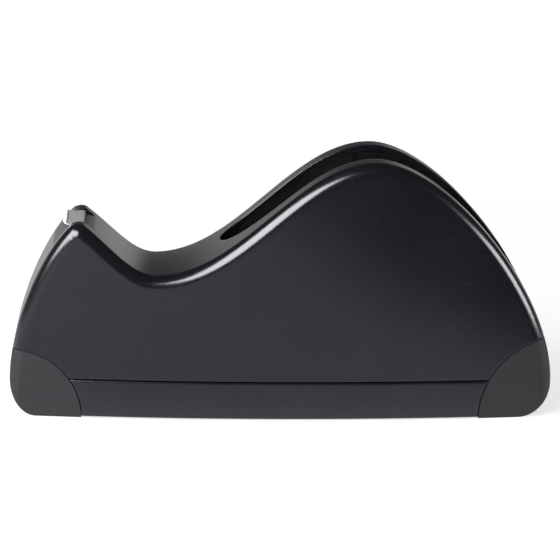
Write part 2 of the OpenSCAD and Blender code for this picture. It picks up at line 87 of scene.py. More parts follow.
class Field:
    # a number that a node tree works out at every point
    def __init__(self, tree, socket):
        self.tree, self.socket = tree, socket

    def math(self, operation, *others):
        values = [v.socket if isinstance(v, Field) else v for v in (self, *others)]
        node = addNode(self.tree, "ShaderNodeMath", {"operation": operation}, dict(enumerate(values)))
        return Field(self.tree, node.outputs[0])

    def __add__(self, other):
        return self.math("ADD", other)

    def __sub__(self, other):
        return self.math("SUBTRACT", other)

    def __mul__(self, other):
        return self.math("MULTIPLY", other)

    def __truediv__(self, other):
        return self.math("DIVIDE", other)


def addPiece(name, data):
    piece = bpy.data.objects.new(name, data)
    bpy.context.collection.objects.link(piece)
    return piece


# Camera first: the view is the photograph's

camera = {
    "place": (-0.05317, -1.14064, 0.36399),
    "turn": 2.657,    # degrees to the right of straight across
    "tilt": 14.952,   # degrees down
    "roll": 0.757,
    "lens": 163.62,
    "sensor": 36,
}


def makeCamera():
    data = bpy.data.cameras.new("camera")
    data.lens, data.sensor_width = camera["lens"], camera["sensor"]
    data.clip_start, data.clip_end = 0.01, 50
    cam = addPiece("camera", data)
    turn, tilt = math.radians(camera["turn"]), math.radians(camera["tilt"])
    ahead = Vector((math.sin(turn) * math.cos(tilt), math.cos(turn) * math.cos(tilt), -math.sin(tilt)))
    roll = Matrix.Rotation(math.radians(camera["roll"]), 3, "Z")
    look = ahead.to_track_quat("-Z", "Y").to_matrix() @ roll
    cam.matrix_world = Matrix.Translation(camera["place"]) @ look.to_4x4()
    bpy.context.scene.camera = cam


makeCamera()
print("camera set")

# Tools that every piece uses


def bezier(a, b, c, d, t):
    return a * (1 - t) ** 3 + b * 3 * t * (1 - t) ** 2 + c * 3 * t * t * (1 - t) + d * t ** 3


def meshFrom(work, name):
    mesh = bpy.data.meshes.new(name)
    work.to_mesh(mesh)
    work.free()
    return mesh


def plainMesh(host, name):
    # what the modifiers make of a host object, as a mesh of its own
    bpy.context.view_layer.update()
    made = host.evaluated_get(bpy.context.evaluated_depsgraph_get())
    mesh = bpy.data.meshes.new_from_object(made)
    mesh.name = name
    return mesh


def startTree(name, source, sizes, result):
    # a node group that takes a geometry, named sizes and a finish, and gives a geometry
    tree = bpy.data.node_groups.new(name, "GeometryNodeTree")
    tree.interface.new_socket(source, in_out="INPUT", socket_type="NodeSocketGeometry")
    kinds = {int: "NodeSocketInt", float: "NodeSocketFloat", tuple: "NodeSocketRotation"}
    for label, value in sizes.items():
        tree.interface.new_socket(label, in_out="INPUT", socket_type=kinds[type(value)])
    tree.interface.new_socket("Finish", in_out="INPUT", socket_type="NodeSocketMaterial")
    tree.interface.new_socket(result, in_out="OUTPUT", socket_type="NodeSocketGeometry")
    given = addNode(tree, "NodeGroupInput")
    return tree, given, {label: Field(tree, given.outputs[label]) for label in sizes}


def endTree(tree, given, shape):
    # instances made real, and the finish put on
    real = addNode(tree, "GeometryNodeRealizeInstances", None, {0: shape})
    painted = addNode(tree, "GeometryNodeSetMaterial", None, {
        "Geometry": real.outputs[0], "Material": given.outputs["Finish"]})
    addNode(tree, "NodeGroupOutput", None, {0: painted.outputs[0]})
    return tree


def runTree(tree, host, values, name):
    # the plain mesh that a tree makes of a host object, which then goes; inputs go by socket identifier
    modifier = host.modifiers.new(tree.name, "NODES")
    modifier.node_group = tree
    for item in tree.interface.items_tree:
        if item.in_out == "INPUT" and item.name in values:
            modifier[item.identifier] = values[item.name]
    mesh = plainMesh(host, name)
    host.modifiers.clear()
    bpy.data.objects.remove(host)
    return mesh


def tidyMesh(mesh, join=0.002 * mm):
    # joins doubles, drops slivers and turns the faces outwards
    work = bmesh.new()
    work.from_mesh(mesh)
    bmesh.ops.remove_doubles(work, verts=work.verts, dist=join)
    bmesh.ops.dissolve_degenerate(work, edges=work.edges, dist=join)
    bmesh.ops.recalc_face_normals(work, faces=work.faces)
    work.to_mesh(mesh)
    work.free()
    return mesh


# Sizes of the body, repeated from the solids where the frame doesn't give them

body = {
    "length": cadHigh.x - cadLow.x,
    "width": cadHigh.y - cadLow.y,
    "humpHeight": cadHigh.z,
    "noseHeight": 90.2 * mm,
    "dipHeight": 67 * mm,
    "noseIn": 32 * mm,        # nose end to tip
    "dipIn": 67.2 * mm,       # nose end to the finger dip
    "humpIn": 83 * mm,        # rear end to the top of the hump
    "wideX": 12 * mm,
    "sideBow": 7.5 * mm,
    "endHeight": 16 * mm,
    "frontCorner": 12 * mm,   # how far the round lower corners reach in
    "rearCorner": 15.5 * mm,
    "edgeRadius": 5.4 * mm,
    "thinEdge": 0.8 * mm,
    "wall": 2.6 * mm,
    "skin": 3 * mm,
    "seamHeight": 18.6 * mm,
    "seamGap": 0.7 * mm,
    "jointGap": 0.2 * mm,
    "deckLow": 19.1 * mm,
    "deckTop": 22.1 * mm,
    "frontFoot": (-123.3 * mm, 31.5 * mm),  # centre x and radius of the round joint
    "rearFoot": (129.5 * mm, 38.6 * mm),
}
halfLength = body["length"] / 2
noseX = body["noseIn"] - halfLength
dipX = body["dipIn"] - halfLength
humpX = halfLength - body["humpIn"]
bowRadius = body["length"] ** 2 / (8 * body["sideBow"])


def halfWidth(x, inset=0):
    radius = bowRadius - inset
    return body["width"] / 2 - bowRadius + math.sqrt(radius ** 2 - (x - body["wideX"]) ** 2)


# side outline of the upper surface as Bezier knots: place, handle before, handle after
upSlope = Vector((0.714, 0, 0.7))
downSlope = Vector((0.779, 0, -0.627))
frontEnd = Vector((-halfLength, 0, body["endHeight"]))
rearEnd = Vector((halfLength, 0, body["endHeight"]))
tipFront = Vector((noseX - 3.6 * mm, 0, body["noseHeight"] - 1.4 * mm))
tipBack = Vector((noseX + 3.1 * mm, 0, body["noseHeight"] - 0.8 * mm))
dip = Vector((dipX, 0, body["dipHeight"]))
hump = Vector((humpX, 0, body["humpHeight"]))
rise = Vector((humpX - dipX, 0, 0))
outlineKnots = [
    (frontEnd, frontEnd, frontEnd + Vector((0, 0, 22 * mm))),
    (tipFront, tipFront - 22 * mm * upSlope, tipFront + 1.9 * mm * upSlope),
    (tipBack, tipBack - 2.2 * mm * downSlope, tipBack + 16.3 * mm * downSlope),
    (dip, dip - Vector((11 * mm, 0, 0)), dip + 0.38 * rise),
    (hump, hump - 0.365 * rise, hump + Vector((31 * mm, 0, 0))),
    (rearEnd, rearEnd + Vector((0, 0, 42.5 * mm)), rearEnd),
]


def outlinePoints(steps):
    points = []
    for (start, _, leave), (end, arrive, _) in zip(outlineKnots, outlineKnots[1:]):
        points += [bezier(start, leave, arrive, end, i / steps) for i in range(steps)]
    return points + [rearEnd.copy()]


def outlineCurve():
    data = bpy.data.curves.new("bodyOutline", "CURVE")
    data.dimensions, data.resolution_u = "3D", 96
    spline = data.splines.new("BEZIER")
    spline.bezier_points.add(len(outlineKnots) - 1)
    for point, (place, before, after) in zip(spline.bezier_points, outlineKnots):
        point.handle_left_type = point.handle_right_type = "FREE"
        point.co, point.handle_left, point.handle_right = place, before, after
    return addPiece("bodyOutline", data)


# The whole outer form: a grid that wraps along the outline and back under the body.
# Rows go from the middle of the near side, round its upper edge, over, and down the far side.

form = {
    "Columns": 420, "Rows": 31,
    "Edge Row": 3,      # rows out from the ridge where the rounding starts
    "Side Row": 13,     # and where it ends
    "Side Height": 20 * mm, "End Inset": 5.5 * mm,
    "Tip Shift": 0.12 * mm, "Tip Spread": 0.15 * mm, "Spread Rate": 0.25,
    "Length": body["length"], "Width": body["width"], "Bow Radius": bowRadius,
    "Widest": body["wideX"], "End Height": body["endHeight"],
    "Front Corner": body["frontCorner"], "Rear Corner": body["rearCorner"],
    "Edge Radius": body["edgeRadius"], "Thin Edge": body["thinEdge"],
    "Nose": noseX, "Dip": dipX, "Nose Height": body["noseHeight"],
}


def bodyFormTree():
    tree, given, size = startTree("bodyForm", "Outline", form, "Body")
    one = Field(tree, addNode(tree, "ShaderNodeValue").outputs[0])
    one.socket.default_value = 1

    index = Field(tree, addNode(tree, "GeometryNodeInputIndex").outputs[0])
    column = (index / size["Rows"]).math("FLOOR")
    row = index - column * size["Rows"]
    turn = column / size["Columns"]
    under = turn.math("GREATER_THAN", 1.0001)  # past the rear end
    along = one - (turn - 1).math("ABSOLUTE")
    sample = addNode(tree, "GeometryNodeSampleCurve", {"mode": "FACTOR"},
                     {"Curves": given.outputs["Outline"], "Factor": along.socket})
    place = addNode(tree, "ShaderNodeSeparateXYZ", None, {0: sample.outputs["Position"]})
    going = addNode(tree, "ShaderNodeSeparateXYZ", None, {0: sample.outputs["Tangent"]})
    px, topZ = Field(tree, place.outputs["X"]), Field(tree, place.outputs["Z"])
    tx, tz = Field(tree, going.outputs["X"]), Field(tree, going.outputs["Z"])

    # underside: flat, with an elliptic corner at each end
    rearward = px.math("GREATER_THAN", 0)
    cornerRun = size["Front Corner"] + (size["Rear Corner"] - size["Front Corner"]) * rearward
    flatHalf = size["Length"] * 0.5 - cornerRun
    share = (px.math("ABSOLUTE") - flatHalf).math("MAXIMUM", 0) / cornerRun
    lift = (one - share * share).math("MAXIMUM", 0).math("SQRT")
    lowZ = (one - lift) * size["End Height"]
    z = topZ + (lowZ - topZ) * under
    lowX = share * px.math("SIGN") / cornerRun * -1
    nx = tz + (lowX - tz) * under
    nz = (lift / size["End Height"] + tx) * under - tx
    norm = (nx * nx + nz * nz).math("SQRT")
    nx, nz = nx / norm, nz / norm

    # crease where the rounding meets the flat side; the two creases join under the tip
    grow = (z / size["End Height"]).math("MINIMUM", 1)
    radius = size["Thin Edge"] + (size["Edge Radius"] - size["Thin Edge"]) * grow
    qx, qz = px + nx * radius, z + nz * radius
    fromTip = px - size["Nose"]
    side = fromTip.math("SIGN")
    spread = fromTip.math("ABSOLUTE") * size["Spread Rate"] + size["Tip Spread"]
    tipX, tipZ = size["Nose"] + size["Tip Shift"], size["Nose Height"] - size["Edge Radius"]
    fall = side * -0.175 + 1.075  # 1.25 before the tip, 0.9 behind it
    close = ((qx - tipX) * side).math("LESS_THAN", spread) * px.math("LESS_THAN", size["Dip"])
    close = close * (one - under)
    qx = qx + (tipX + side * spread - qx) * close
    qz = qz + (tipZ - fall * spread - qz) * close

    # rounding from the side face to the upper surface, row by row
    fromRidge = row - (size["Rows"] - 1) * 0.5
    step = fromRidge.math("ABSOLUTE")
    bend = (size["Side Row"] - step) / (size["Side Row"] - size["Edge Row"])
    angle = bend.math("MAXIMUM", 0).math("MINIMUM", 1) * (math.pi / 2)
    keep = one - angle.math("SINE")
    sx, sz = px + (qx - px) * keep, z + (qz - z) * keep

    # the last rows run down the bowed side to its middle line
    reach = size["Length"] * 0.5 - size["End Inset"]
    middleX = px.math("MAXIMUM", reach * -1).math("MINIMUM", reach)
    past = ((step - size["Side Row"]).math("MAXIMUM", 0) * 0.5).math("POWER", 5)
    x = sx + (middleX - sx) * past
    height = sz + (size["Side Height"] - sz) * past
    fromWide = x - size["Widest"]
    bow = (size["Bow Radius"] * size["Bow Radius"] - fromWide * fromWide).math("SQRT")
    half = bow + size["Width"] * 0.5 - size["Bow Radius"]
    edge = half - (one - angle.math("COSINE")) * radius
    inner = ((size["Edge Row"] - step).math("MAXIMUM", 0) / size["Edge Row"]).math("POWER", 3)
    y = edge * (one - inner) * fromRidge.math("SIGN")

    grid = addNode(tree, "GeometryNodeMeshGrid", None, {
        "Vertices X": (size["Columns"] * 2 + 1).socket, "Vertices Y": size["Rows"].socket})
    where = addNode(tree, "ShaderNodeCombineXYZ", None, {"X": x.socket, "Y": y.socket, "Z": height.socket})
    moved = addNode(tree, "GeometryNodeSetPosition", None, {
        "Geometry": grid.outputs["Mesh"], "Position": where.outputs[0]})
    merged = addNode(tree, "GeometryNodeMergeByDistance", None, {
        "Geometry": moved.outputs[0], "Distance": 0.02 * mm})
    return endTree(tree, given, merged.outputs[0])


def prism(points, low, high, axis):
    # outline in the other two axes, pushed from low to high along this one
    work = bmesh.new()
    at = {"Y": lambda a, b, level: (a, level, b), "Z": lambda a, b, level: (a, b, level)}[axis]
    ends = [[work.verts.new(at(a, b, level)) for a, b in points] for level in (low, high)]
    work.faces.new(ends[0])
    work.faces.new(ends[1])
    count = len(points)
    for i in range(count):
        j = (i + 1) % count
        work.faces.new((ends[0][i], ends[0][j], ends[1][j], ends[1][i]))
    bmesh.ops.recalc_face_normals(work, faces=work.faces)
    bmesh.ops.triangulate(work, faces=[f for f in work.faces if len(f.verts) > 4])
    return meshFrom(work, "cutter")


def roundAcross(centreX, radius, steps=360):
    turns = [2 * math.pi * i / steps for i in range(steps)]
    points = [(centreX + radius * math.cos(a), radius * math.sin(a)) for a in turns]
    return prism(points, -body["width"], body["width"], "Y")


def carve(mesh, name, cuts):
    # cuts are (operation, cutter mesh), taken in turn
    host = addPiece(name, mesh)
    cutters = []
    for operation, cutter in cuts:
        tool = addPiece("cutter", cutter)
        tool.hide_render = True
        step = host.modifiers.new("cut", "BOOLEAN")
        step.solver, step.operation, step.object = "MANIFOLD", operation, tool
        cutters.append(tool)
    result = plainMesh(host, name)
    for tool in cutters + [host]:
        bpy.data.objects.remove(tool)
    return result


formMesh = tidyMesh(runTree(bodyFormTree(), outlineCurve(), form, "bodyForm"))
print("body form:", len(formMesh.vertices), "points")

# The slot for the roll, seen from above; its near front corner sweeps across

slot = {
    "width": 31 * mm,
    "front": -27.8 * mm,
    "rear": 108 * mm,
    "sweepLength": 34.6 * mm,
    "sweepIn": 7.5 * mm,
    "sweepTip": 3 * mm,
    "sweepEase": (0.44, 0.045),     # handles of the sweep, as shares of its length
    "frontCorner": 13.6 * mm,
    "frontEase": (3 * mm, 5 * mm),  # handles of the far front corner, from its sides
    "rearCorner": 8 * mm,
    "rearEase": 2.5 * mm,
    "steps": 24,
}


def slotOutline(steps):
    h, x0, x1 = slot["width"] / 2, slot["front"], slot["rear"]
    c, d, sweep, inward = slot["rearCorner"], slot["rearEase"], slot["sweepLength"], slot["sweepIn"]
    (leave, arrive), (down, along) = slot["sweepEase"], slot["frontEase"]
    corners = [
        ((x0 + sweep, -h), (x0 + leave * sweep, -h),
         (x0 + arrive * sweep, inward - h), (x0, slot["sweepTip"])),
        ((x0, h - inward), (x0, h - down), (x0 + along, h), (x0 + slot["frontCorner"], h)),
        ((x1 - c, h), (x1 - d, h), (x1, h - d), (x1, h - c)),
        ((x1, c - h), (x1, d - h), (x1 - d, -h), (x1 - c, -h)),
    ]
    points = []
    for corner in corners:
        a, b, c2, d2 = (Vector(p) for p in corner)
        points += [tuple(bezier(a, b, c2, d2, i / steps)) for i in range(steps + 1)]
    return points


notch = {
    "width": 27.2 * mm,
    "depth": 11 * mm,
    "front": 14 * mm,        # its ends, before and behind the tip
    "back": 2.6 * mm,
    "ledgeDepth": 1.9 * mm,  # the ledge between the cheeks starts this far under the tip
    "ledgeDrop": 2.45 * mm,  # and slopes down from the plate to the upper surface
    "ledgeBack": 7.5 * mm,
}
hollow = {
    "outlineSteps": 60,
    "stations": 240,
    "tipClear": (12 * mm, 13 * mm),  # kept out of the nose, before and behind the tip
    "endClear": 0.01 * mm,
    "floorDrop": 1 * mm,
    "least": 0.3 * mm,               # lowest headroom
}


def hollowCutter():
    # the space inside the housing, in upright strips between the bowed walls
    skin, wall, seam, stations = body["skin"], body["wall"], body["seamHeight"], hollow["stations"]
    before, behind = hollow["tipClear"]
    upper = outlinePoints(hollow["outlineSteps"])
    ceiling = []
    for last, here, following in zip(upper, upper[1:], upper[2:]):
        t = (following - last).normalized()
        p = here + skin * Vector((t.z, 0, -t.x))
        nearTip = noseX - before < here.x < noseX + behind
        if here.z > seam + skin and not nearTip:
            ceiling.append(p)
    floor = seam - hollow["floorDrop"]
    low, high = ceiling[0].x + hollow["endClear"], ceiling[-1].x - hollow["endClear"]
    work = bmesh.new()
    rings, k = [], 0
    for i in range(stations + 1):
        x = low + (high - low) * (1 - math.cos(math.pi * i / stations)) / 2
        while k < len(ceiling) - 2 and ceiling[k + 1].x < x:
            k += 1
        a, b = ceiling[k], ceiling[k + 1]
        top = a.z + (b.z - a.z) * (x - a.x) / max(b.x - a.x, 1e-9)
        bottom = floor
        for centre, radius in (body["frontFoot"], body["rearFoot"]):
            bottom = max(bottom, math.sqrt(max(0, (radius + wall) ** 2 - (x - centre) ** 2)))
        if top - bottom < hollow["least"]:
            continue
        y = halfWidth(x) - wall
        corners = ((x, -y, bottom), (x, -y, top), (x, y, top), (x, y, bottom))
        rings.append([work.verts.new(p) for p in corners])
    for a, b in zip(rings, rings[1:]):
        for i in range(4):
            work.faces.new((a[i], a[(i + 1) % 4], b[(i + 1) % 4], b[i]))
    work.faces.new(rings[0])
    work.faces.new(rings[-1])
    bmesh.ops.recalc_face_normals(work, faces=work.faces)
    bmesh.ops.triangulate(work, faces=work.faces)
    return meshFrom(work, "cutter")


def post(x, y, radius, low, high, sides=48):
    # upright round bar, for bosses and screw holes
    turns = [2 * math.pi * i / sides for i in range(sides)]
    return prism([(x + radius * math.cos(a), y + radius * math.sin(a)) for a in turns], low, high, "Z")


def block(x0, x1, y0, y1, low, high):
    return prism([(x0, y0), (x1, y0), (x1, y1), (x0, y1)], low, high, "Z")


# Screws of each kind: where they stand, the height at which their heads bear, and their holes

caseScrews = {
    "along": (-82.7 * mm, 13.8 * mm, 82.7 * mm),
    "inset": 8.5 * mm,       # from the side face
    "head": 20.9 * mm,
    "length": 8.5 * mm,
    "bossRadius": 3.4 * mm,
    "bossHeight": 9.3 * mm,
    "ribThick": 2.4 * mm,    # joins the boss to the wall
    "threadRadius": 1.52 * mm,
    "threadDepth": 9.2 * mm,
}
footScrews = {
    "along": (-112 * mm, 108 * mm),
    "across": 8 * mm,
    "head": 12 * mm,
    "length": 30 * mm,
    "boss": (24 * mm, 46 * mm),
    "headHole": 3.4 * mm,
    "shankHole": 1.75 * mm,
    "threadDepth": 30.7 * mm,
    "footTop": 59 * mm,
}
holderScrews = {
    "along": noseX - 2.5 * mm,
    "across": 8 * mm,
    "head": 75.8 * mm,
    "length": 8.5 * mm,
    "headHole": 2.5 * mm,
    "shankHole": 1.3 * mm,
    "from": 56 * mm,         # the holes in the nose start here
    "thread": (78 * mm, 85 * mm),
    "threadRadius": 1.12 * mm,
}
sides = (-1, 1)
casePlaces = [(x, s * (halfWidth(x) - caseScrews["inset"])) for x in caseScrews["along"] for s in sides]
footPlaces = [(x, s * footScrews["across"]) for x in footScrews["along"] for s in sides]
holderPlaces = [(holderScrews["along"], s * holderScrews["across"]) for s in sides]


def jointGroove(centreX, radius, width=0.5 * mm, depth=0.9 * mm):
    # shallow ring along a foot's joint, where the two moulded edges are eased
    core = formMesh.copy()
    shrink = [1 - 2 * depth / size for size in (body["length"], body["width"], body["humpHeight"])]
    core.transform(Matrix.Diagonal((*shrink, 1)))
    return carve(roundAcross(centreX, radius + width / 2), "groove", [
        ("DIFFERENCE", roundAcross(centreX, radius - width / 2)), ("DIFFERENCE", core)])


def makeShell():
    far, seam, nose = body["length"], body["seamHeight"], body["noseHeight"]
    notchLow, ledgeLow = nose - notch["depth"], nose - notch["ledgeDepth"]
    front, back, ledgeBack = noseX - notch["front"], noseX + notch["back"], noseX + notch["ledgeBack"]
    notchSide = [(front, notchLow), (back, notchLow), (back, ledgeLow),
                 (ledgeBack, ledgeLow - notch["ledgeDrop"]), (ledgeBack, 2 * nose), (front, 2 * nose)]
    low = prism([(-far, -far), (far, -far), (far, seam), (-far, seam)], -far, far, "Y")
    feet = (body["frontFoot"], body["rearFoot"])
    cuts = [("DIFFERENCE", cutter) for cutter in (
        low, *(roundAcross(*foot) for foot in feet), *(jointGroove(*foot) for foot in feet), hollowCutter(),
        prism(slotOutline(slot["steps"]), seam, 2 * body["humpHeight"], "Z"),
        prism(notchSide, -notch["width"] / 2, notch["width"] / 2, "Y"))]
    deck, rise, rib = body["deckTop"], caseScrews["bossHeight"], caseScrews["ribThick"] / 2
    for x, y in casePlaces:
        wallY = math.copysign(halfWidth(x) - body["wall"] / 2, y)
        cuts += [("UNION", post(x, y, caseScrews["bossRadius"], deck, deck + rise)),
                 ("UNION", block(x - rib, x + rib, *sorted((y, wallY)), deck, deck + rise))]
    for x, y in footPlaces:
        centreX, radius = feet[x > 0]
        boss = carve(post(x, y, caseScrews["bossRadius"], *footScrews["boss"]), "boss", [
            ("DIFFERENCE", roundAcross(centreX, radius + body["wall"] / 2))])
        cuts.append(("UNION", boss))
    thread = caseScrews["threadRadius"]
    for places, kind, start in (
            (casePlaces, caseScrews, body["deckLow"]), (footPlaces, footScrews, footScrews["head"])):
        end = kind["head"] + kind["threadDepth"]
        cuts += [("DIFFERENCE", post(x, y, thread, start, end)) for x, y in places]
    start = holderScrews["from"]
    for x, y in holderPlaces:
        for hole, end in (("shankHole", nose), ("headHole", holderScrews["head"])):
            cuts.append(("DIFFERENCE", post(x, y, holderScrews[hole], start, end)))
    return carve(formMesh.copy(), "shell", cuts)


def makeFoot(name, centreX, radius, clear=0.05 * mm):
    cuts = [("INTERSECT", roundAcross(centreX, radius - clear)),
            ("DIFFERENCE", jointGroove(centreX, radius))]
    for x, y in footPlaces:
        if abs(x - centreX) < radius:
            cuts += [("DIFFERENCE", post(x, y, footScrews["headHole"], -mm, footScrews["head"])),
                     ("DIFFERENCE", post(x, y, footScrews["shankHole"], -mm, footScrews["footTop"]))]
    return carve(formMesh.copy(), name, cuts)


# Finishes


def newFinish(name):
    material = bpy.data.materials.new(name)
    material.use_nodes = True
    tree = material.node_tree
    tree.nodes.clear()
    shader = addNode(tree, "ShaderNodeBsdfPrincipled")
    addNode(tree, "ShaderNodeOutputMaterial", None, {"Surface": shader.outputs[0]})
    spot = addNode(tree, "ShaderNodeTexCoord").outputs["Object"]
    return material, tree, shader, spot


def colourAndRelief(tree, shader, mottle, low, high, height, depth, others, strength=1.0):
    # the mottle runs the colour from low to high, and the height stands in relief
    tint = addNode(tree, "ShaderNodeMix", {"data_type": "RGBA"}, {
        "Factor": mottle, "A": linearColour(low), "B": linearColour(high)})
    bump = addNode(tree, "ShaderNodeBump", None, {
        "Height": height, "Distance": depth, "Strength": strength})
    setSockets(tree, shader, {"Base Color": tint.outputs["Result"], "Normal": bump.outputs[0], **others})
    return bump


def mouldedPlastic(name, low, high, roughness, edge=0.0, grainSize=0.7 * mm, grainDepth=0.004 * mm):
    # moulded ABS: slight flow shading and a fine even spark grain, in colour and gloss, that breaks up
    # reflections; real spark grain is about 0.2 mm and is drawn coarser so that it shows
    material, tree, shader, spot = newFinish(name)
    flow = addNode(tree, "ShaderNodeTexNoise", None, {
        "Vector": spot, "Scale": 1 / (45 * mm), "Detail": 2, "Roughness": 0.5})
    grain = addNode(tree, "ShaderNodeTexNoise", None, {
        "Vector": spot, "Scale": 1 / grainSize, "Detail": 3, "Roughness": 0.6})
    contrast = 2.2
    speck = (Field(tree, grain.outputs["Fac"]) - 0.5) * contrast + Field(tree, flow.outputs["Fac"])
    gloss = addNode(tree, "ShaderNodeMapRange", None, {
        "Value": grain.outputs["Fac"], "To Min": roughness - 0.05, "To Max": roughness + 0.05})
    bump = colourAndRelief(tree, shader, speck.socket, low, high, grain.outputs["Fac"], grainDepth, {
        "Roughness": gloss.outputs[0], "IOR": 1.5})
    if edge:
        # small moulded radius on every cut edge
        rim = addNode(tree, "ShaderNodeBevel", {"samples": 6}, {"Radius": edge})
        tree.links.new(rim.outputs[0], bump.inputs["Normal"])
    return material


def softRubber(name, low, high):
    # moulded thermoplastic rubber: dull, with a slightly dusty mottle and a coarser skin
    material, tree, shader, spot = newFinish(name)
    dust = addNode(tree, "ShaderNodeTexNoise", None, {
        "Vector": spot, "Scale": 1 / (9 * mm), "Detail": 4, "Roughness": 0.6})
    skin = addNode(tree, "ShaderNodeTexNoise", None, {
        "Vector": spot, "Scale": 1 / (0.6 * mm), "Detail": 3, "Roughness": 0.65})
    colourAndRelief(tree, shader, dust.outputs["Fac"], low, high, skin.outputs["Fac"], 0.03 * mm, {
        "Roughness": 0.72, "IOR": 1.46})
    return material


def workedSteel(name, low, high, roughness, stretch, lineSize):
    # rolled, ground or turned steel: fine lines in one direction that draw the gloss out
    material, tree, shader, spot = newFinish(name)
    place = addNode(tree, "ShaderNodeMapping", None, {"Vector": spot, "Scale": stretch})
    lines = addNode(tree, "ShaderNodeTexNoise", None, {
        "Vector": place.outputs[0], "Scale": 1 / lineSize, "Detail": 4, "Roughness": 0.7})
    gloss = addNode(tree, "ShaderNodeMapRange", None, {
        "Value": lines.outputs["Fac"], "To Min": roughness - 0.08, "To Max": roughness + 0.08})
    colourAndRelief(tree, shader, lines.outputs["Fac"], low, high, lines.outputs["Fac"], 0.006 * mm, {
        "Roughness": gloss.outputs[0], "Metallic": 1})
    return material


def castIron(name, low, high):
    # sand cast iron: dark, rough, with a pitted skin
    material, tree, shader, spot = newFinish(name)
    pits = addNode(tree, "ShaderNodeTexVoronoi", None, {"Vector": spot, "Scale": 1 / (1.3 * mm)})
    skin = addNode(tree, "ShaderNodeTexNoise", None, {
        "Vector": spot, "Scale": 1 / (3 * mm), "Detail": 6, "Roughness": 0.7})
    colourAndRelief(tree, shader, skin.outputs["Fac"], low, high, pits.outputs["Distance"], 0.15 * mm, {
        "Metallic": 1, "Roughness": 0.62}, 0.8)
    return material


finishes = {
    "housing_plastic": mouldedPlastic("satinHousingAbs", "#0d0d11", "#201f25", 0.21, 1.0 * mm),
    # black plastic for the roll well and blade seat, its colour taken darker than the housing's so that it
    # also paints the shade inside the slot and notch
    "well_plastic": mouldedPlastic("wellAbsWithPaintedShade", "#060607", "#09090a", 0.34),
    "base_plastic": mouldedPlastic("mattBaseAbs", "#202023", "#26262a", 0.5),
    "tray_plastic": mouldedPlastic("satinTrayAbs", "#232327", "#29292e", 0.42, 0.4 * mm),
    "hub_plastic": mouldedPlastic("satinHubAbs", "#1b1b1e", "#212125", 0.38, 0.4 * mm),
    "foot_rubber": softRubber("dullFootRubber", "#171719", "#1e1e21"),
    "ballast_iron": castIron("sandCastIron", "#3a3a3c", "#5c5a58"),
    "axle_steel": workedSteel("turnedAxleSteel", "#a8a9ad", "#c4c5c8", 0.28, (1, 12, 1), 1.2 * mm),
    "blade_steel": workedSteel("rolledBladeSteel", "#d2d2d3", "#f0f0f0", 0.52, (5, 1, 5), 2 * mm),
    "screw_steel": workedSteel("platedScrewSteel", "#8f9195", "#b0b2b6", 0.35, (1, 1, 1), 0.8 * mm),
}
print("finishes made")


def dress(piece, slotName):
    piece.data.materials.clear()
    piece.data.materials.append(finishes[slotName])


def finishPiece(name, mesh, slotName, bodyName, node, degrees=32):
    # a tidy mesh, smooth up to an angle, in its finish and in place of its solid
    tidyMesh(mesh)
    mesh.polygons.foreach_set("use_smooth", [True] * len(mesh.polygons))
    mesh.set_sharp_from_angle(angle=math.radians(degrees))
    piece = addPiece(name, mesh)
    dress(piece, slotName)
    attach(piece, bodyName)
    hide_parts(node)


finishPiece("housingShell", makeShell(), "housing_plastic", "housing", "shell")
print("housing shell carved")
for end in ("front", "rear"):
    foot = makeFoot(end + "Foot", *body[end + "Foot"])
    finishPiece(end + "FootRubber", foot, "foot_rubber", "housing", end + "_foot")
print("feet carved")

# Drawer front: a thin bowed board whose ends follow the feet

drawerFront = {
    "thickness": 3.2 * mm,
    "low": 0.7 * mm,
    "stations": 120,
    "levels": 10,
    "softEdge": 0.35 * mm,
    "rimAngle": 40,          # degrees; sharper edges are rims
}


def makeDrawerFront():
    low, high = drawerFront["low"], body["seamHeight"] - body["seamGap"]
    (frontX, frontR), (rearX, rearR) = body["frontFoot"], body["rearFoot"]
    stations, levels = drawerFront["stations"], drawerFront["levels"]
    work = bmesh.new()
    sheets = []
    for inset in (0, drawerFront["thickness"]):
        sheet = []
        for j in range(levels + 1):
            z = low + (high - low) * j / levels
            start = frontX + math.sqrt((frontR + body["jointGap"]) ** 2 - z * z)
            end = rearX - math.sqrt((rearR + body["jointGap"]) ** 2 - z * z)
            xs = [start + (end - start) * i / stations for i in range(stations + 1)]
            sheet.append([work.verts.new((x, -halfWidth(x, inset), z)) for x in xs])
        sheets.append(sheet)
    outer, inner = sheets
    pairs = [pair for sheet in sheets for pair in zip(sheet, sheet[1:])]
    for a, b in pairs + [(outer[0], inner[0]), (outer[-1], inner[-1])]:
        for i in range(stations):
            work.faces.new((a[i], a[i + 1], b[i + 1], b[i]))
    for i in (0, -1):
        for j in range(levels):
            work.faces.new((outer[j][i], outer[j + 1][i], inner[j + 1][i], inner[j][i]))
    bmesh.ops.recalc_face_normals(work, faces=work.faces)
    rims = [e for e in work.edges if e.calc_face_angle(0) > math.radians(drawerFront["rimAngle"])]
    bmesh.ops.bevel(
        work, geom=rims, offset=drawerFront["softEdge"], segments=2, affect="EDGES", profile=0.5)
    return meshFrom(work, "drawerFront")


finishPiece("drawerFrontBoard", makeDrawerFront(), "housing_plastic", "drawer", "drawer_front")
print("drawer front made")

# Blade: a strip bent along its side view, with a row of ground teeth on the raised lip

blade = {
    "Width": 26 * mm, "Thickness": 0.6 * mm, "Bend": 0.55 * mm, "Lip Angle": math.radians(32.47),
    "Teeth": 16, "Pitch": 1.625 * mm, "Tooth Height": 1.4 * mm,
    "Tooth Tip": 0.05,       # share of its width
}
plate = {
    "front": noseX - 5 * mm,
    "rear": noseX + 1.9 * mm,
    "top": 89 * mm,
    "drop": 5 * mm,          # rear edge, bent down behind the seat
    "lipReach": 2.2 * mm,
    "seatGap": 0.15 * mm,    # seat to the cheeks of the notch
    "seatLift": 0.1 * mm,    # seat to the floor of the notch
}


